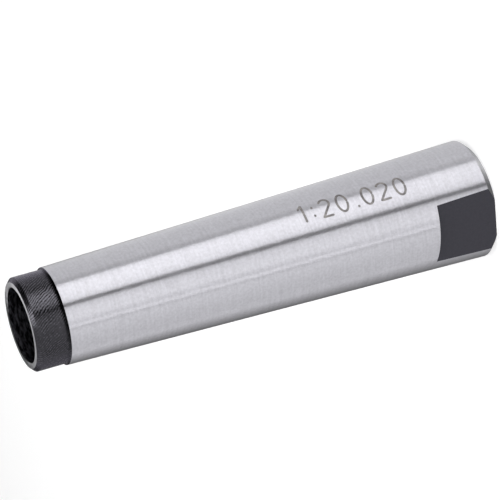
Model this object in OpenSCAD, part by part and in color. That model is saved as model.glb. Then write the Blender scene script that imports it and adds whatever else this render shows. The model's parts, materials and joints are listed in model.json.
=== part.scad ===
// Morse taper sleeve: a short steel sleeve, turned from one bar.
// Its outside is a slow taper, and a smaller slow taper is bored into its big end as a socket.
// A plain collar and a plain counterbore make the small end, and two flats are milled beside the big end.
// Frame: the origin is the centre of the big end face, and +Z runs along the axis to the small end.
// The sleeve stands on its big end. The flats face +X and -X. All sizes are in millimetres and degrees.

/* [Overall] */
// Length from the big end face to the small end face
total_l = 72.7; // [71:0.1:80]

/* [Outside taper] */
// Outside diameter at the gauge line
shank_gauge_d = 17.78; // [17.6:0.01:18]
// Distance of the gauge line from the big end face
shank_gauge_z = 5; // [4:0.5:6]
// Length over which the outside diameter falls by 1 mm
shank_rate = 20.02; // [19.5:0.01:20.5]
// Bevel round the big end, at 45 degrees
big_bevel = 1; // [0.4:0.1:1.4]

/* [Collar at the small end] */
// Diameter of the collar
collar_d = 14.1; // [13.4:0.1:14.4]
// Length of the collar, from the step to the small end face
collar_l = 5.1; // [3:0.05:6]
// Radius that the tool's nose leaves where the collar meets the step
collar_fillet = 0.4; // [0.1:0.05:0.8]
// Bevel round the small end, at 45 degrees
small_bevel = 0.55; // [0.3:0.05:0.8]

/* [Socket in the big end] */
// Diameter of the socket's taper where it reaches the big end face
socket_d = 12.065; // [11.9:0.005:12.2]
// Length over which the socket's diameter falls by 1 mm
socket_rate = 20.047; // [19.5:0.001:20.5]
// Bevel round the socket's mouth, at 45 degrees
socket_bevel = 0.3; // [0.1:0.05:0.5]
// Diameter of the clearance bore that takes over past the socket's taper
relief_d = 9.7; // [9.5:0.1:10.5]

/* [Counterbore in the small end] */
// Diameter of the counterbore
tail_bore_d = 11.3; // [10.6:0.1:11.8]
// Depth of its straight wall from the small end face
tail_bore_l = 12; // [4:0.5:20]
// Full angle of the cone that a drill leaves at its bottom
drill_angle = 118; // [90:1:140]
// Bevel round its mouth, at 45 degrees
tail_bevel = 0.1; // [0.05:0.05:0.3]

/* [Wrench flats] */
// Distance across the two flats
flats_across = 14.9; // [14:0.1:16]
// Distance from the big end face to the flats' end wall, at the middle of each flat
flats_l = 9.75; // [6:0.05:14]
// Lean of that end wall from square, about X
flats_lean = 4; // [0:0.5:6]

/* [Hidden] */
$fn = 128;

// How far a cutting shape runs past the surface that it opens
past = 1;

// Outside radius of the taper at a height above the big end face
function shank_r(z) = shank_gauge_d / 2 - (z - shank_gauge_z) / shank_rate / 2;
// Radius of the socket's taper at a height above the big end face
function socket_r(z) = socket_d / 2 - z / socket_rate / 2;

step_z = total_l - collar_l;
fillet_z = step_z + collar_fillet;
// Height at which the socket's taper has come down to the clearance bore
relief_z = (socket_d - relief_d) * socket_rate;
tail_z = total_l - tail_bore_l;
drill_h = (tail_bore_d - relief_d) / 2 / tan(drill_angle / 2);

// Half section of the outside, from the axis outwards, with the taper run on to the fillet's top
module outside_section() {
    difference() {
        polygon([
            [0, 0],
            [shank_r(0) - big_bevel, 0],
            [shank_r(big_bevel), big_bevel],
            [shank_r(fillet_z), fillet_z],
            [collar_d / 2, fillet_z],
            [collar_d / 2, total_l - small_bevel],
            [collar_d / 2 - small_bevel, total_l],
            [0, total_l]
        ]);
        // The round nose of the tool, and the straight step that it leaves beside a deep fillet
        translate([collar_d / 2 + collar_fillet, fillet_z])
            circle(r = collar_fillet);
        translate([collar_d / 2 + collar_fillet, step_z])
            square([shank_gauge_d, collar_fillet + past]);
    }
}

// Half section of the socket and of the clearance bore behind it
module socket_section() {
    polygon([
        [0, -past],
        [socket_r(0) + socket_bevel + past, -past],
        [socket_r(socket_bevel), socket_bevel],
        [relief_d / 2, relief_z],
        [relief_d / 2, tail_z],
        [0, tail_z]
    ]);
}

// Half section of the counterbore with its drilled bottom
module tail_bore_section() {
    polygon([
        [0, tail_z - drill_h],
        [relief_d / 2, tail_z - drill_h],
        [tail_bore_d / 2, tail_z],
        [tail_bore_d / 2, total_l - tail_bevel],
        [tail_bore_d / 2 + tail_bevel + past, total_l + past],
        [0, total_l + past]
    ]);
}

// Everything that is taken off to leave the two flats
module flats_waste() {
    deep = shank_gauge_d;
    translate([0, 0, flats_l])
        rotate([-flats_lean, 0, 0])
            for (side = [-1, 1])
                translate([side * (flats_across / 2 + deep / 2), 0, -deep])
                    cube([deep, 2 * deep, 2 * deep], center = true);
}

// The whole sleeve, one piece of steel
module sleeve() {
    color([0.74, 0.74, 0.76])
        difference() {
            rotate_extrude() outside_section();
            rotate_extrude() socket_section();
            rotate_extrude() tail_bore_section();
            flats_waste();
        }
}

sleeve();
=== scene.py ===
# %% [markdown]
# # A morse taper sleeve
#
# A taper sleeve lets a drill with a small taper shank fit a machine spindle that has a bigger
# taper. It is one piece of steel, turned on a lathe, hardened and then ground: the long slow
# cone outside, the socket inside its big end, a plain collar at the small end, and two flats
# milled beside the big end.
#
# The CAD model gives the sizes and the collision shape. Here the same shape is worked out once
# more with numpy, finely enough for reflections to run smoothly over it, and each of its
# finishes gets its own material. The frame is the CAD's: the origin is the centre of the big
# end's face, and the axis is +Z.

import json
import math

import bmesh
import bpy
import numpy as np
from mathutils import Matrix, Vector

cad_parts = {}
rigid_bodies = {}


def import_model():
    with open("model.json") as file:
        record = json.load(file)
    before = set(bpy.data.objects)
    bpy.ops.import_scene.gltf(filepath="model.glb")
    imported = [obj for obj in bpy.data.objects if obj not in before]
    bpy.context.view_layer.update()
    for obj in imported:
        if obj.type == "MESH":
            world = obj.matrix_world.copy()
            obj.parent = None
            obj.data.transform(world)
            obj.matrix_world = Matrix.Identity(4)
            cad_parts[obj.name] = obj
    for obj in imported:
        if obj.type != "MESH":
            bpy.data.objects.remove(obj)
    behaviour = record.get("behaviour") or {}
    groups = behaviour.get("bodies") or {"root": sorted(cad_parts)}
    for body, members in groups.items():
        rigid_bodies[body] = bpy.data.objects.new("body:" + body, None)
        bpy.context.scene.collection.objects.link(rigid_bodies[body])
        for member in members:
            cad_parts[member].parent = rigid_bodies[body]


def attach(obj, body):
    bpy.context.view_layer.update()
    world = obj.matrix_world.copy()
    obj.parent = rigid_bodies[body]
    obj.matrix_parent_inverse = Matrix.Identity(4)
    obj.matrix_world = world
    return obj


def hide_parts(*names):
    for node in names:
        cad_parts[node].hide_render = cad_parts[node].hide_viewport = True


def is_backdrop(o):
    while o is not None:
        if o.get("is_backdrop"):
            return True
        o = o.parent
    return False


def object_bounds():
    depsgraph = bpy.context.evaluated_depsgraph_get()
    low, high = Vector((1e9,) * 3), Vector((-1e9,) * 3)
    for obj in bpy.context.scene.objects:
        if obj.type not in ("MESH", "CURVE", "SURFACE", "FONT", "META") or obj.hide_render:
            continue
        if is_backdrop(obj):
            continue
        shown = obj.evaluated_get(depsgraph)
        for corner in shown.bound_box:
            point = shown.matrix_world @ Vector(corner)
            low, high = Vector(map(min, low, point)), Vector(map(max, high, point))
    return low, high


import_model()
cad_low, cad_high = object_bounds()
MM = 0.001  # one millimetre, in Blender's metres
print("CAD box in mm:", [round((high - low) / MM, 2) for low, high in zip(cad_low, cad_high)])

# %% [markdown]
# ## Sizes
#
# A sleeve is described by two half outlines: radius against height, as on a lathe drawing. The
# overall length comes from the frame, so the two models can't drift apart. The other numbers
# are the driving sizes of the CAD part, in millimetres.

# %% Sizes in millimetres
TOTAL_L = (cad_high.z - cad_low.z) / MM

GAUGE_R, GAUGE_Z, SHANK_RATE = 8.89, 5.0, 20.02  # outside taper: radius 8.89 at 5 mm, 1 in 20.02
SOCKET_R, SOCKET_RATE = 6.0325, 20.047  # socket: radius at the big end's face, 1 in 20.047
BIG_BEVEL = 1.0
SOCKET_BEVEL = 0.3
RELIEF_R = 4.85  # plain clearance bore between the socket and the counterbore
COLLAR_R, COLLAR_L, COLLAR_FILLET = 7.05, 5.1, 0.4
SMALL_BEVEL = 0.55
TAIL_BORE_R, TAIL_BORE_L, TAIL_BEVEL = 5.65, 12.0, 0.1
DRILL_ANGLE = 118.0
FLAT_X = 7.45  # half the width across the flats
FLATS_L, FLATS_LEAN = 9.75, 4.0  # height of the flats' end wall on the axis, lean in degrees


def shank_r(z):
    """Outside radius of the taper: it falls evenly, by half a millimetre in SHANK_RATE."""
    return GAUGE_R - (z - GAUGE_Z) / SHANK_RATE / 2


def socket_r(z):
    """Radius of the socket: it falls evenly from the big end's face, as the outside does."""
    return SOCKET_R - z / SOCKET_RATE / 2


STEP_Z = TOTAL_L - COLLAR_L
RELIEF_Z = (SOCKET_R - RELIEF_R) * 2 * SOCKET_RATE  # where the socket has come down to the bore
TAIL_Z = TOTAL_L - TAIL_BORE_L
DRILL_H = (TAIL_BORE_R - RELIEF_R) / math.tan(math.radians(DRILL_ANGLE / 2))
print("step at", round(STEP_Z, 2), "mm, socket ends at", round(RELIEF_Z, 2), "mm")
print("counterbore from", round(TAIL_Z, 2), "mm, drilled cone", round(DRILL_H, 2), "mm deep")

# %% [markdown]
# ## Corners that catch the light
#
# No real edge is perfectly sharp: a file or a tumbler leaves a tiny round, and that round shows
# as a thin line of light. It could be a Bevel modifier, but on a turned part it is simpler to
# round the corners of the half outline before it is spun. Each corner becomes a short arc, with
# one more point just outside it on both sides, so that smooth shading stays in the arc.

# %% Round the corners of a half outline
LEAD = 0.8  # distance of the extra point from its arc, as a share of the arc's radius


def rounded(outline, radii, steps=4):
    """Points of an outline whose corners are arcs.

    A corner with unit directions a (in) and b (out) turns by the angle t. Its arc starts r*tan(t/2)
    before the corner and ends as far after it. With n as a's normal on the inner side, its points
    are start + r * (n * (1 - cos u) + a * sin u), for u from 0 to t in equal parts.
    """
    points = [np.array(outline[0], float)]
    for before, corner, after, radius in zip(outline, outline[1:], outline[2:], radii):
        before, corner, after = (np.array(p, float) for p in (before, corner, after))
        a, b = corner - before, after - corner
        len_a, len_b = np.linalg.norm(a), np.linalg.norm(b)
        a, b = a / len_a, b / len_b
        cross = a[0] * b[1] - a[1] * b[0]
        turn = math.atan2(cross, a @ b)
        reach = radius * math.tan(abs(turn) / 2)
        start = corner - a * reach
        normal = math.copysign(1, cross) * np.array([-a[1], a[0]])
        angles = np.linspace(0, turn, steps + 1)
        bend = start + radius * (
            normal * (1 - np.cos(angles))[:, None] + a * np.sin(np.abs(angles))[:, None]
        )
        lead = LEAD * radius
        if lead + reach < len_a / 2:
            points.append(start - a * lead)
        points.extend(bend)
        if lead + reach < len_b / 2:
            points.append(corner + b * (reach + lead))
    points.append(np.array(outline[-1], float))
    return np.array(points)


def subdivided(outline, longest):
    """The same outline with points added evenly, so that no part of it is longer than that."""
    parts = [outline[:1]]
    for start, end in zip(outline, outline[1:]):
        count = math.ceil(np.linalg.norm(end - start) / longest)
        parts.append(start + (end - start) * np.linspace(0, 1, count + 1)[1:, None])
    return np.vstack(parts)


EDGE = 0.07  # radius of a broken edge, in mm
FINE_EDGE = 0.03  # radius of an edge left by grinding
DRILL_EDGE = 0.3  # radius where the counterbore's wall meets its drilled bottom
print("edge radii in mm:", EDGE, FINE_EDGE, DRILL_EDGE)

# %% [markdown]
# ## The outline in stretches
#
# The body is one closed loop of rings: up the outside, over the small end's face, down the
# counterbore and the socket, and back over the big end's face. Every stretch of the loop knows
# its finish: ground, plainly turned, blackened, or the dark wall deep in the bore.

# %% Half outline of each stretch
TRIES = 5  # how often an answer that depends on itself is put back in
NOSE_POINTS = 13  # along the arc that the tool's round nose leaves

big_outline = rounded(
    [
        (SOCKET_R + SOCKET_BEVEL, 0),
        (shank_r(0) - BIG_BEVEL, 0),
        (shank_r(BIG_BEVEL), BIG_BEVEL),
        (shank_r(2 * BIG_BEVEL), 2 * BIG_BEVEL),
    ],
    [FINE_EDGE, EDGE],
)
big_outline = subdivided(big_outline[1:], longest=0.12)

nose_r, nose_z = COLLAR_R + COLLAR_FILLET, STEP_Z + COLLAR_FILLET  # centre of the tool's round nose
ground_end = STEP_Z
for _ in range(TRIES):  # the arc meets the taper at the height where both have one radius
    nose_start = math.acos((nose_r - shank_r(ground_end)) / COLLAR_FILLET)
    ground_end = nose_z - COLLAR_FILLET * math.sin(nose_start)
nose_turn = np.linspace(nose_start, 0, NOSE_POINTS)
fillet = np.stack(
    [nose_r - COLLAR_FILLET * np.cos(nose_turn), nose_z - COLLAR_FILLET * np.sin(nose_turn)], -1
)
collar_outline = rounded(
    [
        fillet[-1],
        (COLLAR_R, TOTAL_L - SMALL_BEVEL),
        (COLLAR_R - SMALL_BEVEL, TOTAL_L),
        (TAIL_BORE_R + TAIL_BEVEL, TOTAL_L),
    ],
    [EDGE, EDGE],
)
end_outline = np.vstack([fillet, collar_outline[1:-1]])
bore_outline = rounded(
    [
        (COLLAR_R - SMALL_BEVEL, TOTAL_L),
        (TAIL_BORE_R + TAIL_BEVEL, TOTAL_L),
        (TAIL_BORE_R, TOTAL_L - TAIL_BEVEL),
        (TAIL_BORE_R, TAIL_Z),
        (RELIEF_R, TAIL_Z - DRILL_H),
        (RELIEF_R, RELIEF_Z),
    ],
    [FINE_EDGE, FINE_EDGE, DRILL_EDGE, FINE_EDGE],
)[1:]
socket_outline = rounded(
    [
        (RELIEF_R, RELIEF_Z),
        (socket_r(SOCKET_BEVEL), SOCKET_BEVEL),
        (SOCKET_R + SOCKET_BEVEL, 0),
        (shank_r(0) - BIG_BEVEL, 0),
    ],
    [FINE_EDGE, FINE_EDGE],
)[1:-1]
print("outline points:", [len(o) for o in (big_outline, end_outline, bore_outline, socket_outline)])

# %% [markdown]
# ## Spinning an outline that has two flats
#
# A Screw modifier would spin the outline into a body, but the two flats cut through it, and a
# Boolean would leave long thin triangles that spoil the reflections. So the columns of the grid
# bend instead: four of them run exactly along the lines where the round meets a flat, and the
# others share out the angle between those four. On a flat the radius is simply the smaller of
# the outline's and the plane's.

# %% Columns that follow the flats
FLAT_COLUMNS, ROUND_COLUMNS = 40, 58
COLUMN_SHARES = [np.arange(n) / n for n in (FLAT_COLUMNS, ROUND_COLUMNS) * 2]
ON_FLAT = np.repeat([True, False, True, False], (FLAT_COLUMNS, ROUND_COLUMNS) * 2)
LEAN = math.tan(math.radians(FLATS_LEAN))


def around(crease):
    """Column angles of rings, from the half angles (rings, 4) that the flats span at each corner.

    The four corners lie at -c, c, half a turn - c and half a turn + c. Columns between two
    corners share the angle between them evenly.
    """
    corners = crease * [-1, 1, -1, 1] + [0, 0, math.pi, math.pi]
    turn = np.diff(corners, append=corners[:, :1] + 2 * math.pi)
    parts = [corners[:, [k]] + turn[:, [k]] * share for k, share in enumerate(COLUMN_SHARES)]
    return np.hstack(parts)


def crease_at(radius):
    """Half angle that a flat spans on a circle: the angle whose cosine is FLAT_X / radius."""
    return np.arccos(FLAT_X / np.maximum(radius, shank_r(0) - BIG_BEVEL))


def on_cone(z, angle):
    """Radius of the taper, the same at every angle."""
    return shank_r(z)


def on_flat(z, angle):
    """Radius of the taper, or of the flat's plane where that is smaller."""
    return np.minimum(shank_r(z), FLAT_X / np.abs(np.cos(angle)))


def wall_z(side, angle):
    """Height of the flats' end wall along a column: a plane that leans about X, so it falls with y.

    The column's radius depends on that height again, so each answer is put back in a few times.
    """
    z = np.full(angle.shape, FLATS_L)
    for _ in range(TRIES):
        z = FLATS_L - side(z, angle) * np.sin(angle) * LEAN
    return z


corner_side = np.array([-1, 1, 1, -1])
corner_z = np.full(4, FLATS_L)
for _ in range(TRIES):
    corner_z = wall_z(on_cone, corner_side * crease_at(shank_r(corner_z)))
wall_crease = crease_at(shank_r(corner_z))
print("flats end between", corner_z.min().round(2), "and", corner_z.max().round(2), "mm")

# %% [markdown]
# ## Up the outside
#
# At the bevel the rings are level, and at the flats' end they follow the wall, which leans. In
# between, each column shares out its own height evenly. So the milled edge is a true edge of the
# mesh, and the faces beside it stay long and even, which a Boolean wouldn't give.

# %% Rings from the big end's bevel to the flats' wall
FLAT_RINGS, CONE_RINGS = 10, 30
bevel_r, bevel_z = big_outline[:, [0]], big_outline[:, [1]]
bevel_angle = around(np.repeat(crease_at(bevel_r), 4, 1))
bevel_rings = (
    np.minimum(bevel_r, FLAT_X / np.abs(np.cos(bevel_angle))),
    bevel_angle,
    np.repeat(bevel_z, len(ON_FLAT), 1),
)

low_z = big_outline[-1, 1]
rise = np.linspace(0, 1, FLAT_RINGS + 1)[1:, None]
low_corner_z = low_z + (corner_z - low_z) * rise
low_angle = around(crease_at(shank_r(low_corner_z)))
flat_rings_z = low_z + (wall_z(on_flat, low_angle) - low_z) * rise
flat_rings = (on_flat(flat_rings_z, low_angle), low_angle, flat_rings_z)
print(len(bevel_z), "rings on the bevel,", FLAT_RINGS, "beside the flats")

# %% [markdown]
# ## Over the small end and back
#
# Past the wall the taper is whole again, so only the heights are shared out. From the step on
# nothing cuts the outline, and a ring has one radius and one height for all its columns. The
# last ring of the socket closes on the first one of the bevel, across the big end's face.

# %% Rings from the wall to the small end, and back through the bore
wall_angle = around(wall_crease[None, :])
rise = np.linspace(0, 1, CONE_RINGS)[:, None]
high_wall = wall_z(on_cone, wall_angle)
cone_z = high_wall + (ground_end - high_wall) * rise
cone_rings = (shank_r(cone_z), np.repeat(wall_angle, len(rise), 0), cone_z)


def spun(outline):
    """Rings of an outline that nothing cuts: every column has the outline's own radius."""
    radius, z = (np.repeat(outline[:, [k]], len(ON_FLAT), 1) for k in (0, 1))
    return radius, np.repeat(wall_angle, len(outline), 0), z


stretches = [
    ("turned", bevel_rings),
    ("ground", flat_rings),
    ("ground", cone_rings),
    ("blackened", spun(end_outline[1:])),
    ("bore", spun(bore_outline)),
    ("ground", spun(socket_outline)),
]
radius, angle, height = (np.vstack([rings[k] for _, rings in stretches]) for k in range(3))
print("grid of", radius.shape[0], "rings by", radius.shape[1], "columns")

# %% [markdown]
# ## Which strip wears which finish
#
# On the real sleeve a finish ends at an edge, because a tool or a wheel stopped there. So it is
# chosen strip by strip, a strip being the band of faces between two rings, and beside the flats
# by column as well. A mask in one shared material could do it too, but it would blur the edges.

# %% Finish of each strip between two rings
FINISHES = ["ground", "turned", "blackened", "milled", "bore"]
ON_FACE = 0.001  # a ring within this of a face's height lies on the face, in mm
strip = np.concatenate(
    [np.full(len(rings[0]), FINISHES.index(name)) for name, rings in stretches]
)
ring_z, ring_r = height[:, FLAT_COLUMNS + 1], radius[:, FLAT_COLUMNS + 1]
lowest = np.minimum(ring_z, np.roll(ring_z, 1))
highest = np.maximum(ring_z, np.roll(ring_z, 1))
widest = np.maximum(ring_r, np.roll(ring_r, 1))

past_bevel = (strip == FINISHES.index("turned")) & (lowest > BIG_BEVEL)
strip[past_bevel] = FINISHES.index("ground")
end_face = lowest > TOTAL_L - ON_FACE
bore_edge = lowest > TOTAL_L - TAIL_BEVEL - FINE_EDGE
bore_edge &= widest < TAIL_BORE_R + 2 * TAIL_BEVEL
socket_edge = highest < SOCKET_BEVEL + FINE_EDGE
socket_edge &= widest < SOCKET_R + 2 * SOCKET_BEVEL
strip[end_face | bore_edge | socket_edge] = FINISHES.index("turned")

finish = np.repeat(strip[:, None], len(ON_FLAT), 1)
rings_below_wall = len(bevel_rings[0]) + len(flat_rings[0])
finish[1 : rings_below_wall + 1, ON_FLAT] = FINISHES.index("milled")
print({name: int((finish == k).sum()) for k, name in enumerate(FINISHES)}, "faces")

# %% [markdown]
# ## From the grid to a mesh
#
# The grid closes on itself both ways, like a ring doughnut, so it has no open edge anywhere. At
# the flats' wall two rings are needed: one on the flat and one on the cone. Elsewhere they fall
# together, and merging the doubles there leaves one clean line. Edges sharper than the arcs'
# steps are marked sharp, and everything else is shaded smooth.

# %% Helpers that fill a mesh from arrays
MERGE_MM = 0.0008  # points closer than this become one
SHARP_DEG = 25.0  # an edge that turns by more is marked sharp


def grid_faces(rows, columns, closed=True):
    """Corner numbers of a grid's quads, where point (j, i) has the number j * columns + i.

    A quad's corners are (j-1, i), (j-1, i+1), (j, i+1) and (j, i). A closed grid joins its last
    row to its first, and its last column too.
    """
    j = np.arange(0 if closed else 1, rows)[:, None]
    i = np.arange(columns if closed else columns - 1)[None, :]
    before, after = (j - 1) % rows, (i + 1) % columns
    corners = [before * columns + i, before * columns + after, j * columns + after, j * columns + i]
    return np.stack(np.broadcast_arrays(*corners), -1).reshape(-1, 4)


def mesh_piece(name, points_mm, faces, materials, material_of_face=None, uv=None):
    """A mesh object from points (n, 3) in mm and faces, with doubles merged and edges marked."""
    mesh = bpy.data.meshes.new(name)
    mesh.from_pydata((points_mm * MM).tolist(), [], faces.tolist())
    for material in materials:
        mesh.materials.append(material)
    if material_of_face is not None:
        mesh.polygons.foreach_set("material_index", material_of_face.astype(np.int32))
    if uv is not None:
        mesh.uv_layers.new(name="unrolled").data.foreach_set("uv", uv.astype(np.float32).ravel())
    made = bmesh.new()
    made.from_mesh(mesh)
    bmesh.ops.remove_doubles(made, verts=made.verts, dist=MERGE_MM * MM)
    made.to_mesh(mesh)
    made.free()
    mesh.polygons.foreach_set("use_smooth", np.ones(len(mesh.polygons), bool))
    mesh.set_sharp_from_angle(angle=math.radians(SHARP_DEG))
    mesh.update()
    piece = bpy.data.objects.new(name, mesh)
    bpy.context.scene.collection.objects.link(piece)
    return piece


print(len(grid_faces(*radius.shape)), "faces before the doubles are merged")

# %% [markdown]
# ## Materials: small helpers
#
# Every finish here is a Principled shader with a few texture nodes in front of it. Short
# functions keep them readable: one starts a material, one adds a node, and the others make what
# comes back again and again, which is a stretched noise, a change of range, a sum, two close
# tones and a bump. The patterns read Object coordinates, which stay put in every view and need
# no UV map, except the collar's tool marks and its painted shade, which follow the surface.

# %% Node helpers
def new_material(name, **sockets):
    """A material with one Principled shader whose named sockets are set: all that one builds on."""
    material = bpy.data.materials.new(name)
    material.use_nodes = True
    tree = material.node_tree
    shader = tree.nodes["Principled BSDF"]
    for socket, value in sockets.items():
        shader.inputs[socket.replace("_", " ")].default_value = value
    return material, tree, shader


def add(tree, kind, links=None, values=None, **settings):
    """A node of that kind, with links and plain values by the socket's name or number."""
    made = tree.nodes.new(kind)
    for key, value in settings.items():
        setattr(made, key, value)
    for key, value in (values or {}).items():
        made.inputs[key].default_value = value
    for key, output in (links or {}).items():
        tree.links.new(output, made.inputs[key])
    return made


def stretched_noise(tree, per_mm, detail=2.0, roughness=0.5):
    """Noise on Object coordinates with its own count of grains per mm along X, Y and Z."""
    place = add(tree, "ShaderNodeTexCoord")
    scale = add(
        tree,
        "ShaderNodeMapping",
        {"Vector": place.outputs["Object"]},
        {"Scale": [n / MM for n in per_mm]},
    )
    noise = add(
        tree,
        "ShaderNodeTexNoise",
        {"Vector": scale.outputs["Vector"]},
        {"Scale": 1.0, "Detail": detail, "Roughness": roughness},
    )
    return noise.outputs["Fac"]


def between(tree, value, low, high, from_low=0.3, from_high=0.7):
    """The value carried evenly from one range to another; noise mostly lies between 0.3 and 0.7."""
    made = add(
        tree,
        "ShaderNodeMapRange",
        {"Value": value},
        {"From Min": from_low, "From Max": from_high, "To Min": low, "To Max": high},
    )
    return made.outputs["Result"]


def added(tree, one, other):
    """The sum of two values."""
    return add(tree, "ShaderNodeMath", {0: one, 1: other}, operation="ADD").outputs[0]


def two_tone(tree, value, dark, light):
    """A colour between two close tones, by a value from 0 to 1."""
    tones = {6: (*dark, 1), 7: (*light, 1)}
    return add(tree, "ShaderNodeMix", {0: value}, tones, data_type="RGBA").outputs[2]


def bumped(tree, shader, height, depth_mm):
    """Feeds a bump of that depth, for a height from 0 to 1, into the shader."""
    values = {"Strength": 1.0, "Distance": depth_mm * MM}
    bump = add(tree, "ShaderNodeBump", {"Height": height}, values)
    tree.links.new(bump.outputs["Normal"], shader.inputs["Normal"])


def report(material):
    """Prints what a material is made of."""
    print(material.name, "has", len(material.node_tree.nodes), "nodes")


# %% [markdown]
# ## Ground steel
#
# A grinding wheel runs round the cone and leaves countless fine scratches, all of them rings.
# Light scatters far across the scratches and hardly at all along them, so a lamp shows as a
# long streak down the taper with rather crisp sides. In the shader that is anisotropy. The
# Radial tangent about Z points round the ring, and a quarter turn makes the rough direction the
# one along the axis. Noise that is long round the ring and very short along Z varies the tone
# and wobbles the surface a little. A second noise, as fine across as along, is the mottled grain
# that the wheel leaves: it makes the sides of the streaks ragged.

# %% Ground steel
def ring_tangent(tree, shader):
    """Points the shader's smooth direction round the axis."""
    around_z = add(tree, "ShaderNodeTangent", direction_type="RADIAL", axis="Z")
    tree.links.new(around_z.outputs["Tangent"], shader.inputs["Tangent"])


def ground_steel():
    """Bright, bluish grey metal: two close tones by fine rings, and a faint wobble."""
    material, tree, shader = new_material(
        "ground steel", Metallic=1.0, Roughness=0.31, Anisotropic=1.0, Anisotropic_Rotation=0.25
    )
    ring_tangent(tree, shader)
    rings = stretched_noise(tree, (0.12, 0.12, 2.6), detail=3.0, roughness=0.7)
    grain = stretched_noise(tree, (2.6, 2.6, 2.6), detail=2.0, roughness=0.6)
    mottle = added(tree, between(tree, rings, 0.0, 0.45), between(tree, grain, 0.0, 0.55))
    tone = two_tone(tree, mottle, (0.422, 0.417, 0.447), (0.554, 0.550, 0.589))
    tree.links.new(tone, shader.inputs["Base Color"])
    wobble = stretched_noise(tree, (0.5, 0.5, 3.3), detail=2.0)
    bumped(tree, shader, added(tree, wobble, between(tree, grain, 0.0, 0.30)), 0.014)
    return material


GROUND = ground_steel()
report(GROUND)

# %% [markdown]
# ## Turned steel
#
# The two end faces and the big bevel were turned and never ground. A turning tool leaves rings
# too, but coarser, so the metal is duller and a little darker. The small end's face is bright,
# but near black towards one side. That side could be faces with a material of their own, but
# its border is ragged, so here it is a mix, and a noise moves the border. A dot product gives a
# point's distance towards that side plus its height, which keeps the big end far below the
# range that counts.

# %% Turned steel
DARK_SIDE = math.radians(-130)  # the side of the small end's face that is near black
DARK_FROM, DARK_FULL = 0.8, 4.0  # mm from the axis where the darkening begins and where it is full


def turned_steel():
    """Duller bare metal, black where x*cos + y*sin of that side, plus z, is past the face's z."""
    material, tree, shader = new_material(
        "turned steel", Metallic=1.0, Roughness=0.36, Anisotropic=0.7, Anisotropic_Rotation=0.25
    )
    ring_tangent(tree, shader)
    rings = stretched_noise(tree, (1.5, 1.5, 6.0), detail=3.0, roughness=0.6)
    bare = two_tone(tree, between(tree, rings, 0.0, 1.0), (0.40, 0.40, 0.42), (0.52, 0.52, 0.54))
    toward = add(
        tree,
        "ShaderNodeVectorMath",
        {0: add(tree, "ShaderNodeTexCoord").outputs["Object"]},
        {1: (math.cos(DARK_SIDE) / MM, math.sin(DARK_SIDE) / MM, 1 / MM)},
        operation="DOT_PRODUCT",
    )
    ragged = between(tree, stretched_noise(tree, (0.9, 0.9, 0.9), detail=2.0), -0.9, 0.9)
    reach = added(tree, toward.outputs["Value"], ragged)
    # Near black towards one side of the small end's face, with a ragged border.
    darkened = between(tree, reach, 0.0, 1.0, TOTAL_L + DARK_FROM, TOTAL_L + DARK_FULL)
    black = {7: (0.012, 0.012, 0.014, 1)}
    tone = add(tree, "ShaderNodeMix", {0: darkened, 6: bare}, black, data_type="RGBA")
    tree.links.new(tone.outputs[2], shader.inputs["Base Color"])
    bumped(tree, shader, rings, 0.004)
    return material


TURNED = turned_steel()
report(TURNED)

# %% [markdown]
# ## Black oxide on the collar
#
# The collar, the flats and the bore were not ground after hardening, so they kept their black
# oxide, a thin layer of magnetite. It is dark and faintly bluish with a soft gloss. On the collar
# it is so thin that the steel still shows through, so the shader there is a metal with a very
# dark colour, lighter on the crests of the tool marks, where the coat is rubbed.
#
# On the collar the tool's feed marks show through as fine slanting lines about a third of a
# millimetre apart. They follow the surface, so they are a sine of the UV map, with a whole number
# of lines round the collar so that the seam doesn't show. Slow noises make the lines drift and
# fade, and a fine one adds specks, because the tool tore the surface more than it cut it. The
# rounded corner at the step is darkened as painted shade, and more on one side: the height says
# how deep in the corner a point is, and a cosine says on which side.

# %% Black oxide on the collar
OXIDE_TINT = (0.93, 0.91, 1.0, 1)  # faintly bluish gloss, also on the flats
LINES_AROUND, LINES_ALONG = 104, 124  # over the whole turn, and over the whole length
PAINTED_SHADE_AT = math.radians(72)  # the side of the corner where the painted shade is darkest
PAINTED_SHADE_LOW, PAINTED_SHADE_TOP = 0.2, 0.75  # mm above the step where the painted shade begins to thin, and ends


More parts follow.
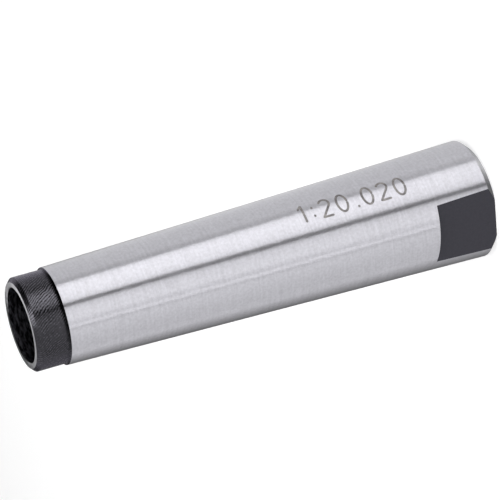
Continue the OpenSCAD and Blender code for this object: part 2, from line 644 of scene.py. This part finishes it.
def collar_black():
    """Soft black gloss with slanting tool marks: sine of (U * lines around + V * lines along)."""
    material, tree, shader = new_material(
        "black oxide turned",
        Metallic=1.0,
        Specular_Tint=OXIDE_TINT,
        Anisotropic=0.5,
        Anisotropic_Rotation=0.25,
    )
    ring_tangent(tree, shader)
    unrolled = add(tree, "ShaderNodeUVMap", uv_map="unrolled")
    phase = add(
        tree,
        "ShaderNodeVectorMath",
        {0: unrolled.outputs["UV"]},
        {1: (2 * math.pi * LINES_AROUND, 2 * math.pi * LINES_ALONG, 0)},
        operation="DOT_PRODUCT",
    )
    drift = between(tree, stretched_noise(tree, (0.6, 0.6, 0.6), detail=1.0), -2.5, 2.5)
    moved = added(tree, phase.outputs["Value"], drift)
    lines = add(tree, "ShaderNodeMath", {0: moved}, operation="SINE").outputs[0]
    strength = between(tree, stretched_noise(tree, (0.35, 0.35, 0.35), detail=2.0), 0.4, 1.15)
    strong = add(tree, "ShaderNodeMath", {0: lines, 1: strength}, operation="MULTIPLY").outputs[0]
    specks = between(tree, stretched_noise(tree, (3.4, 3.4, 3.4), detail=2.0), -0.5, 0.5)
    marks = added(tree, strong, specks)

    # Painted shade: the rounded corner at the step is made darker, most on one side.
    share = add(tree, "ShaderNodeSeparateXYZ", {0: unrolled.outputs["UV"]}).outputs
    low_v, top_v = (STEP_Z + PAINTED_SHADE_LOW) / TOTAL_L, (STEP_Z + PAINTED_SHADE_TOP) / TOTAL_L
    corner = between(tree, share["Y"], 1.0, 0.0, low_v, top_v)
    to_angle = {1: 2 * math.pi, 2: -PAINTED_SHADE_AT}
    turn = add(tree, "ShaderNodeMath", {0: share["X"]}, to_angle, operation="MULTIPLY_ADD")
    side = add(tree, "ShaderNodeMath", {0: turn.outputs[0]}, operation="COSINE")
    amount = between(tree, side.outputs[0], -0.55, -2.3, 0.1, 1.0)
    painted_shade = add(tree, "ShaderNodeMath", {0: corner, 1: amount}, operation="MULTIPLY")

    coat_and_shade = between(tree, added(tree, marks, painted_shade.outputs[0]), 0.0, 1.0, -1.2, 1.2)
    tone = two_tone(tree, coat_and_shade, (0.001, 0.001, 0.001), (0.083, 0.081, 0.092))
    tree.links.new(tone, shader.inputs["Base Color"])
    torn = between(tree, marks, 0.14, 0.30, -1.2, 1.2)
    tree.links.new(torn, shader.inputs["Roughness"])
    bumped(tree, shader, marks, 0.004)
    return material


COLLAR = collar_black()
report(COLLAR)

# %% [markdown]
# ## Black oxide on the flats
#
# A milling cutter leaves the flats matte, so they hold more of the oxide, and the steel no longer
# shows through. It could be the collar's metal with more roughness, but that would still flash at
# a low angle. So it is a plain dark surface with the soft gloss of oil, and a very fine grain.

# %% Black oxide on the milled flats
def flats_black():
    """Matte charcoal with a very fine grain."""
    material, tree, shader = new_material(
        "black oxide milled", Roughness=0.55, IOR=1.46, Specular_Tint=OXIDE_TINT
    )
    grain = stretched_noise(tree, (3.0, 3.0, 3.0), detail=3.0)
    mottle = between(tree, grain, 0.0, 1.0)
    tone = two_tone(tree, mottle, (0.017, 0.0165, 0.023), (0.022, 0.0215, 0.029))
    tree.links.new(tone, shader.inputs["Base Color"])
    bumped(tree, shader, grain, 0.003)
    return material


MILLED = flats_black()
report(MILLED)

# %% [markdown]
# ## Black oxide in the bore
#
# Hardly any light gets into the bore, and its wall is black, so all that shows is short faint
# streaks where the boring tool tore the steel. They could be cut into the mesh, but a noise that
# is longer round the axis than along it gives them in a few nodes. The shader is the collar's
# thin coat again, with less gloss.

# %% Black oxide in the bore
def bore_black():
    """Nearly black walls with short streaks that run round the bore, where the tool tore them."""
    material, tree, shader = new_material(
        "black oxide bored", Metallic=1.0, Roughness=0.36, Specular_Tint=(0.75, 0.74, 0.80, 1)
    )
    streaks = stretched_noise(tree, (0.8, 0.8, 3.0), detail=2.0, roughness=0.6)
    torn = between(tree, streaks, 0.0, 1.0, 0.4, 0.68)
    tone = two_tone(tree, torn, (0.004, 0.004, 0.005), (0.150, 0.147, 0.170))
    tree.links.new(tone, shader.inputs["Base Color"])
    bumped(tree, shader, streaks, 0.01)
    return material


BORED = bore_black()
report(BORED)

# %% [markdown]
# ## The body
#
# All materials go on one object, because the real sleeve is one piece of steel, and each face
# says which of them it wears. The UV map unrolls the body: U is the angle as a share of the
# turn, V is the height as a share of the length.

# %% Build the body
share_u = angle / (2 * math.pi)
next_u = np.hstack([share_u[:, 1:], share_u[:, :1] + 1])
corner_u = np.stack([np.roll(share_u, 1, 0), np.roll(next_u, 1, 0), next_u, share_u], -1)
next_height = np.roll(height, -1, 1)
corner_v = np.stack([np.roll(height, 1, 0), np.roll(next_height, 1, 0), next_height, height], -1)

body_points = np.stack([radius * np.cos(angle), radius * np.sin(angle), height], -1).reshape(-1, 3)
sleeve_body = mesh_piece(
    "sleeve_body",
    body_points,
    grid_faces(*radius.shape),
    [GROUND, TURNED, COLLAR, MILLED, BORED],
    finish.ravel(),
    np.stack([corner_u, corner_v / TOTAL_L], -1).reshape(-1, 2),
)
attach(sleeve_body, "root")
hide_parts("sleeve")
body_size = len(sleeve_body.data.vertices), len(sleeve_body.data.polygons)
print("sleeve_body: %d points, %d faces" % body_size)

# %% [markdown]
# ## The etched mark
#
# Sleeves are marked on the taper with an electric pencil or a laser, which burns thin dull lines
# into the bright steel. Here the mark is plain numbers, the ratio of the outside taper. It could
# be a Text object projected on to the body, but single strokes suit a pencil better: each glyph
# is a few centre lines, and every line becomes a ribbon that lies on the cone, with its ends
# rounded off.

# %% Centre lines of the glyphs, in units of the glyph height
def arc(centre, radii, start_deg, end_deg, count=17):
    """Points of an ellipse: centre + radii * (cosine, sine) of the angle."""
    t = np.radians(np.linspace(start_deg, end_deg, count))
    return np.stack([centre[0] + radii[0] * np.cos(t), centre[1] + radii[1] * np.sin(t)], -1)


GLYPHS = {
    "1": [np.array([(0.06, 0.76), (0.27, 0.98), (0.27, 0.0)])],
    "2": [np.vstack([arc((0.27, 0.73), (0.25, 0.25), 165, -35), [(0.02, 0.02), (0.54, 0.02)]])],
    "0": [arc((0.28, 0.5), (0.25, 0.48), 0, 360, 33)],
    ":": [np.array([(0.13, y), (0.13, y + 0.14)]) for y in (0.16, 0.62)],
    ".": [np.array([(0.16, 0.0), (0.16, 0.14)])],
}
ADVANCE = {"1": 0.62, "2": 0.84, "0": 0.84, ":": 0.50, ".": 0.46}  # from one glyph to the next
MARK = "1:20.020"  # 1 mm less across in 20.02 mm
print(MARK, "is", round(sum(ADVANCE[glyph] for glyph in MARK), 2), "glyph heights long")

# %% [markdown]
# ## Laying the strokes on the cone
#
# The glyphs are drawn flat, with one axis along the sleeve and the other round it. A ribbon has
# four rows of points, so that it bends with the cone, and the distance round the cone becomes an
# angle when it is divided by the radius. A Shrinkwrap modifier could do this too, but here the
# cone's formula is known. The strokes stand a few thousandths of a millimetre proud, as burnt
# metal does, so no facet of the body shows through them.

# %% Ribbons on the cone
MARK_HEIGHT, STROKE, PROUD = 3.1, 0.36, 0.006  # glyph's height, line's width and its thickness
STROKE_STEP = 0.09  # distance between points along a line
TIP = 0.04  # where a line's round end is cut off, as a share of half its width
CAMERA_AZIMUTH = 30.261  # degrees round the axis at which the camera stands
MARK_FROM_Z, MARK_FOOT_DEG = 29.9, 21.5  # where the mark starts, the angle there from the camera


def evenly(line, gap):
    """The same line with points closer than the gap, by its own length."""
    along = np.concatenate([[0], np.cumsum(np.linalg.norm(np.diff(line, axis=0), axis=1))])
    at = np.linspace(0, along[-1], max(2, math.ceil(along[-1] / gap) + 1))
    return np.stack([np.interp(at, along, line[:, k]) for k in (0, 1)], -1)


def ribbon(line, width):
    """Four rows of points beside a centre line: line + normal * width * (-1/2, -1/6, 1/6, 1/2).

    Near both ends the width falls as a half circle's does.
    """
    forward = np.gradient(line, axis=0)
    forward /= np.linalg.norm(forward, axis=1)[:, None]
    normal = np.stack([-forward[:, 1], forward[:, 0]], -1)
    along = np.concatenate([[0], np.cumsum(np.linalg.norm(np.diff(line, axis=0), axis=1))])
    to_end = np.minimum(along, along[-1] - along) / (width / 2)
    full = width * np.sqrt(np.clip(1 - (1 - np.clip(to_end, TIP, 1)) ** 2, 0, 1))
    across = np.array([-1, -1 / 3, 1 / 3, 1])[:, None, None] / 2
    return line[None] + normal[None] * full[None, :, None] * across


def etched_steel():
    """Burnt lines: dull grey, with a brown tinge where the heat was greatest."""
    material, tree, shader = new_material("etched steel", Metallic=0.6, Roughness=0.55)
    burn = stretched_noise(tree, (1.2, 1.2, 1.2), detail=3.0, roughness=0.6)
    tone = two_tone(tree, between(tree, burn, 0.0, 1.0), (0.13, 0.121, 0.123), (0.31, 0.294, 0.285))
    tree.links.new(tone, shader.inputs["Base Color"])
    bumped(tree, shader, burn, 0.01)
    return material


points, faces, pen, count = [], [], 0.0, 0
for glyph in MARK:
    for line in GLYPHS[glyph]:
        rows = ribbon(evenly(line * MARK_HEIGHT, STROKE_STEP), STROKE)
        points.append((rows + [pen, 0]).reshape(-1, 2))
        faces.append(grid_faces(len(rows), rows.shape[1], closed=False) + count)
        count += rows.shape[0] * rows.shape[1]
    pen += ADVANCE[glyph] * MARK_HEIGHT
points, faces = np.vstack(points), np.vstack(faces)
mark_z = MARK_FROM_Z - points[:, 0]
mark_r = shank_r(mark_z) + PROUD
mark_angle = math.radians(CAMERA_AZIMUTH + MARK_FOOT_DEG) + points[:, 1] / shank_r(mark_z)
etched_mark = mesh_piece(
    "etched_mark",
    np.stack([mark_r * np.cos(mark_angle), mark_r * np.sin(mark_angle), mark_z], -1),
    faces,
    [etched_steel()],
)
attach(etched_mark, "root")
print("mark from z", mark_z.min().round(2), "to", mark_z.max().round(2), "mm")
print("etched_mark:", len(etched_mark.data.polygons), "faces")

# %% [markdown]
# ## Floor
#
# The sleeve stands on its big end on a plain pale floor. The camera sees the floor as white,
# partly by its own light and partly by what falls on it, so the shadow round the foot stays.
# Glossy rays pass it: the long reflections on the taper are of the studio below and around,
# as they are on a sleeve that is held up in a light tent.

# %% Floor
def stage_mesh(name, points_m, faces, material):
    """A stage piece, which isn't part of the object, from points in metres."""
    mesh = bpy.data.meshes.new(name)
    mesh.from_pydata(points_m.tolist(), [], faces.tolist())
    mesh.materials.append(material)
    made = bpy.data.objects.new(name, mesh)
    bpy.context.scene.collection.objects.link(made)
    made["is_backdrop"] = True
    return made


FLOOR_HALF = 6.0  # metres from the middle to the floor's edge
FLOOR_GREY = (0.55, 0.55, 0.55, 1)
FLOOR_GLOW = 0.55  # strength of the white glow that only the camera sees
WHITE = (1, 1, 1, 1)


def floor_paint():
    """Diffuse paint, with a glow added for camera rays only."""
    material = bpy.data.materials.new("floor paint")
    material.use_nodes = True
    tree = material.node_tree
    tree.nodes.clear()
    paint = add(tree, "ShaderNodeBsdfDiffuse", values={"Color": FLOOR_GREY})
    glow = add(tree, "ShaderNodeEmission", values={"Color": WHITE, "Strength": FLOOR_GLOW})
    both = add(tree, "ShaderNodeAddShader", {0: paint.outputs[0], 1: glow.outputs[0]})
    camera_ray = add(tree, "ShaderNodeLightPath").outputs["Is Camera Ray"]
    seen = add(
        tree, "ShaderNodeMixShader", {0: camera_ray, 1: paint.outputs[0], 2: both.outputs[0]}
    )
    add(tree, "ShaderNodeOutputMaterial", {"Surface": seen.outputs[0]})
    return material


x, y = np.meshgrid([-FLOOR_HALF, FLOOR_HALF], [-FLOOR_HALF, FLOOR_HALF])
floor_points = np.stack([x.ravel(), y.ravel(), np.zeros(4)], -1)
floor = stage_mesh("floor", floor_points, np.array([[0, 1, 3, 2]]), floor_paint())
floor.visible_glossy = False
floor.visible_shadow = False
print("floor:", 2 * FLOOR_HALF, "m across")

# %% [markdown]
# ## A light tent
#
# Bright metal shows its surroundings, so it is lit by them: the tent is a tall round wall of
# panels, each with its own even or slowly changing glow. One is the key light, a tall softbox
# to the camera's right. A narrow black flag beside it draws the thin dark line along the taper,
# a bright strip between two duller ones draws the fine pale line below, and a dark card shades
# the far edge. Smaller panels stand in front of the wall for the faces that look elsewhere: the
# small end's ring and bevel look up and back, and the big end's bevel looks down and back.
#
# A few area lamps could do for paint or wood, but on metal every lamp's edge shows. Angles are
# measured round the axis from the camera, and a panel at the angle b shows on the taper at b / 2.

# %% Panels of the tent
TENT_R, TENT_LOW, TENT_HIGH = 0.45, -0.9, 0.8  # radius, and height of foot and head, in metres
NEAR_R, SHADE_R, TOP_R = 0.445, 0.44, 0.16  # panels in front of the wall, shades, the top's hole
PANEL_COLUMNS = 25  # points along a panel


def panel_glow():
    """Emission by the panel's own glow, not sampled as a lamp: the metal finds it by reflection."""
    material = bpy.data.materials.new("panel glow")
    material.use_nodes = True
    tree = material.node_tree
    tree.nodes.clear()
    level = add(tree, "ShaderNodeAttribute", attribute_name="glow")
    light = add(tree, "ShaderNodeEmission", {"Strength": level.outputs["Fac"]}, {"Color": WHITE})
    add(tree, "ShaderNodeOutputMaterial", {"Surface": light.outputs[0]})
    material.cycles.emission_sampling = "NONE"
    return material


GLOW = panel_glow()


def set_glow(panel, levels):
    """Writes each point's glow, which the panels' shared material reads."""
    glow = panel.data.attributes.new("glow", "FLOAT", "POINT")
    glow.data.foreach_set("value", levels.astype(np.float32))
    panel.visible_camera = False


def tent_panel(name, start, end, glow, foot=(TENT_R, TENT_LOW), head=(TENT_R, TENT_HIGH)):
    """A strip of a round wall or ceiling, from one angle to another, whose glow follows a curve.

    Its foot and head are (radius, height) in metres. The glow is a parabola through its values at
    the start, the middle and the end: a (1-t)(1-2t) + 4 b t (1-t) + c t (2t-1), for t from 0 to 1.
    """
    t = np.linspace(0, 1, PANEL_COLUMNS)[None, :]
    bearing = np.radians(CAMERA_AZIMUTH + start + (end - start) * t)
    r, z = (np.array(pair)[:, None] for pair in zip(foot, head))
    x, y, z = np.broadcast_arrays(r * np.cos(bearing), r * np.sin(bearing), z)
    first, middle, last = glow
    level = first * (1 - t) * (1 - 2 * t) + 4 * middle * t * (1 - t) + last * t * (2 * t - 1)
    points = np.stack([x, y, z], -1).reshape(-1, 3)
    panel = stage_mesh(name, points, grid_faces(2, t.size, closed=False), GLOW)
    set_glow(panel, np.repeat(level, 2, 0).ravel())


# From and to which angle each strip of the wall runs, and its glow at the start, middle and end
WALL = {
    "left_wall": (-104, -42, (1.00, 1.08, 1.28)),
    "left_seam": (-42, -35.4, (0.90, 0.90, 0.90)),
    "pale_seam": (-35.4, -32.4, (2.3, 2.3, 2.3)),
    "front_seam": (-32.4, -26, (1.10, 1.10, 1.10)),
    "front_low": (-26, -20, (1.34, 1.34, 1.34)),
    "front_fill": (-20, 13.0, (1.57, 1.40, 1.22)),
    "black_flag": (13.0, 20.5, (0.0, 0.0, 0.0)),
    "key_softbox": (20.5, 68, (1.15, 1.21, 1.32)),
    "grey_edge": (68, 86, (0.67, 0.84, 1.14)),
    "right_wall": (86, 164, (1.11, 0.91, 0.56)),
}
for name, (start, end, glow) in WALL.items():
    tent_panel(name, start, end, glow)

tent_panel("key_foot", 20.5, 68, (0.50, 0.55, 0.62), (NEAR_R, TENT_LOW), (NEAR_R, -0.20))
tent_panel("dark_card", -196, -104, (0.03, 0.29, 1.12), head=(TENT_R, 0.13))
tent_panel("back_low", -196, -104, (0.9, 0.15, 2.2), (TENT_R, 0.13), (TENT_R, 0.24))
tent_panel("back_high", -196, -104, (0.6, 0.90, 1.20), (TENT_R, 0.24))
tent_panel("ring_light", 146, 182, (4.3, 2.9, 0.6), (NEAR_R, 0.25), (NEAR_R, 0.60))
tent_panel("low_light", 128, 170, (1.7, 2.0, 0.6), (NEAR_R, TENT_LOW), (NEAR_R, -0.62))
tent_panel("low_edge", 134, 168, (1.6, 1.8, 0.8), (0.38, -0.89), (NEAR_R, -0.89))
tent_panel("key_core", 22, 68, (3.4, 5.4, 3.6), (NEAR_R, -0.100), (NEAR_R, -0.010))
tent_panel("right_core", 104, 164, (1.20, 1.42, 1.20), (NEAR_R, -0.135), (NEAR_R, -0.055))
tent_panel("upper_shade", 72, 150, (0.1, 0.1, 0.1), (SHADE_R, 0.27), (SHADE_R, TENT_HIGH))
tent_panel("ceiling_shade", 64, 164, (0.1, 0.1, 0.1), (TOP_R, TENT_HIGH), (SHADE_R, TENT_HIGH))
tent_panel("top_lamp", -14, 58, (6.2, 6.5, 7.0), (TOP_R, TENT_HIGH), (SHADE_R, TENT_HIGH))
panels = [mesh.name for mesh in bpy.data.meshes if GLOW.name in mesh.materials]
print(len(panels), "panels:", ", ".join(panels))

# %% [markdown]
# ## The tent's foot, and the world
#
# The bevel under the big end looks steeply down, so a pale board closes the tent below. The
# world is plain white where the camera, glossy rays or glass see it, and a little dimmer for
# the light that falls on the sleeve.

# %% Board and world
BOARD_CORNERS, BOARD_GLOW = 48, 0.12
WORLD_LIGHT, WORLD_SEEN = 0.8, 1.0  # strength for light on the sleeve, and where it is looked at

bearing = np.linspace(0, 2 * math.pi, BOARD_CORNERS, endpoint=False)
board_z = np.full(BOARD_CORNERS, TENT_LOW)
board_points = np.stack([TENT_R * np.cos(bearing), TENT_R * np.sin(bearing), board_z], -1)
board = stage_mesh("foot_board", board_points, np.arange(BOARD_CORNERS)[None, :], GLOW)
set_glow(board, np.full(BOARD_CORNERS, BOARD_GLOW))

world = bpy.data.worlds.new("studio")
bpy.context.scene.world = world
world.use_nodes = True
tree = world.node_tree
rays = add(tree, "ShaderNodeLightPath").outputs
seen = rays["Is Camera Ray"]
for kind in ("Is Glossy Ray", "Is Transmission Ray"):
    seen = add(tree, "ShaderNodeMath", {0: seen, 1: rays[kind]}, operation="MAXIMUM").outputs[0]
levels = {"To Min": WORLD_LIGHT, "To Max": WORLD_SEEN}
level = add(tree, "ShaderNodeMapRange", {"Value": seen}, levels)
background = tree.nodes["Background"]
background.inputs["Color"].default_value = WHITE
tree.links.new(level.outputs["Result"], background.inputs["Strength"])
print("world:", WORLD_SEEN, "where it is seen,", WORLD_LIGHT, "for the light it gives")

# %% [markdown]
# ## Camera
#
# The photograph was taken from a little above with a long lens, and with the camera rolled on
# its side, so the standing sleeve lies across the picture. The camera is placed by angles about
# a point near the sleeve's middle.

# %% Camera
CAMERA_ELEVATION, CAMERA_ROLL = 17.584, -105.813  # degrees
CAMERA_DISTANCE, LENS, SENSOR = 508.14, 248.58, 36.0  # mm
AIM = np.array([-0.686, 1.315, 36.272])  # the point that the camera turns about, in mm

azimuth, elevation, roll = np.radians([CAMERA_AZIMUTH, CAMERA_ELEVATION, CAMERA_ROLL])
outwards = np.array([math.cos(azimuth), math.sin(azimuth), 0.0])
back = outwards * math.cos(elevation) + [0, 0, math.sin(elevation)]
level_right = np.array([-math.sin(azimuth), math.cos(azimuth), 0.0])
right = math.cos(roll) * level_right + math.sin(roll) * np.cross(back, level_right)
up = np.cross(back, right)
place = np.eye(4)
place[:3, 0], place[:3, 1], place[:3, 2] = right, up, back
place[:3, 3] = (AIM + back * CAMERA_DISTANCE) * MM

lens = bpy.data.cameras.new("camera")
lens.lens, lens.sensor_width = LENS, SENSOR
lens.clip_start, lens.clip_end = 0.01, 50.0
camera = bpy.data.objects.new("camera", lens)
camera.matrix_world = Matrix(place.tolist())
bpy.context.scene.collection.objects.link(camera)
bpy.context.scene.camera = camera
bpy.context.scene.view_settings.view_transform = "Standard"
print("camera at", (place[:3, 3] / MM).round(1), "mm")

# %% [markdown]
# ## The two boxes
#
# Looks must not change a size, so the box round the finished pieces is written beside the CAD's.
# The two should agree to a hundredth of a millimetre. What is left comes from the broken edge
# past the big bevel and from the facets of the CAD mesh.

# %% Print the finished box
visual_low, visual_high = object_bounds()
extent = [round((high - low) / MM, 3) for low, high in zip(visual_low, visual_high)]
print("visual box in mm:", extent)
